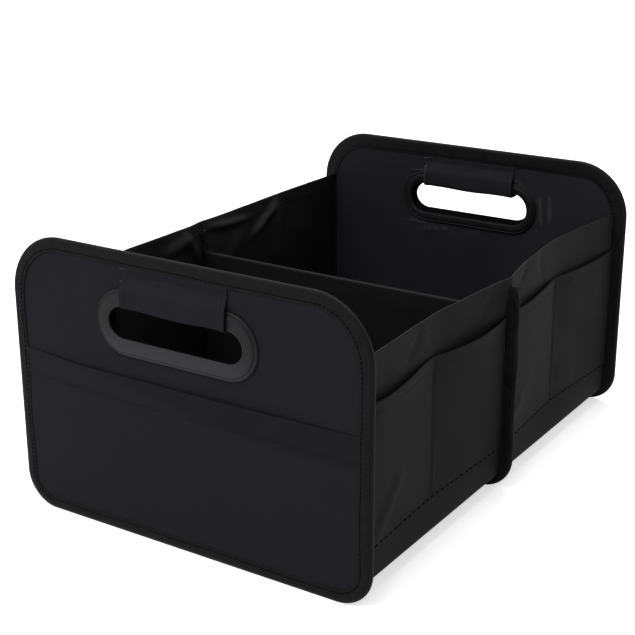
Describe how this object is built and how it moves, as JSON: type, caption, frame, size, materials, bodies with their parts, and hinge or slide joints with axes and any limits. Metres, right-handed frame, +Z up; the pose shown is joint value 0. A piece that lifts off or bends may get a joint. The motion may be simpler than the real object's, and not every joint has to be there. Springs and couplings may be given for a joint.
{
  "type": "car trunk organizer",
  "caption": "Soft open box of black cloth with stiff end panels, hand grips, a divider and stitched outer pockets, for keeping cargo together in a car's trunk.",
  "frame": {"origin": "middle of the bottom edge of the divider's tape, on the plane the box stands on", "axes": "+X across the box, +Y along it towards the back end panel, +Z up; the end panel with the flat pocket is at -Y"},
  "size_m": [0.32, 0.459, 0.226],
  "materials": {
    "cloth": "matt coated Oxford weave",
    "edge_tape": "matt ribbed binding tape",
    "grip_plastic": "satin moulded plastic",
    "stiffener_board": "plain extruded board"
  },
  "bodies": {
    "root": {"front_panel_board": "stiffener_board", "front_panel_outer_cover": "cloth", "front_panel_inner_cover": "cloth", "front_panel_edge_tape": "edge_tape", "front_grip_frame_outer": "grip_plastic", "front_grip_frame_inner": "grip_plastic", "front_grip_sleeve": "cloth", "back_panel_board": "stiffener_board", "back_panel_outer_cover": "cloth", "back_panel_inner_cover": "cloth", "back_panel_edge_tape": "edge_tape", "back_grip_frame_outer": "grip_plastic", "back_grip_frame_inner": "grip_plastic", "back_grip_sleeve": "cloth", "front_panel_pocket": "cloth", "divider_board": "stiffener_board", "divider_cover": "cloth", "divider_edge_tape": "edge_tape", "front_shell": "cloth", "front_base_board": "stiffener_board", "front_base_lining": "cloth", "back_shell": "cloth", "back_base_board": "stiffener_board", "back_base_lining": "cloth", "left_front_pocket": "cloth", "left_back_pocket": "cloth", "right_front_pocket": "cloth", "right_back_pocket": "cloth"}
  },
  "joints": []
}
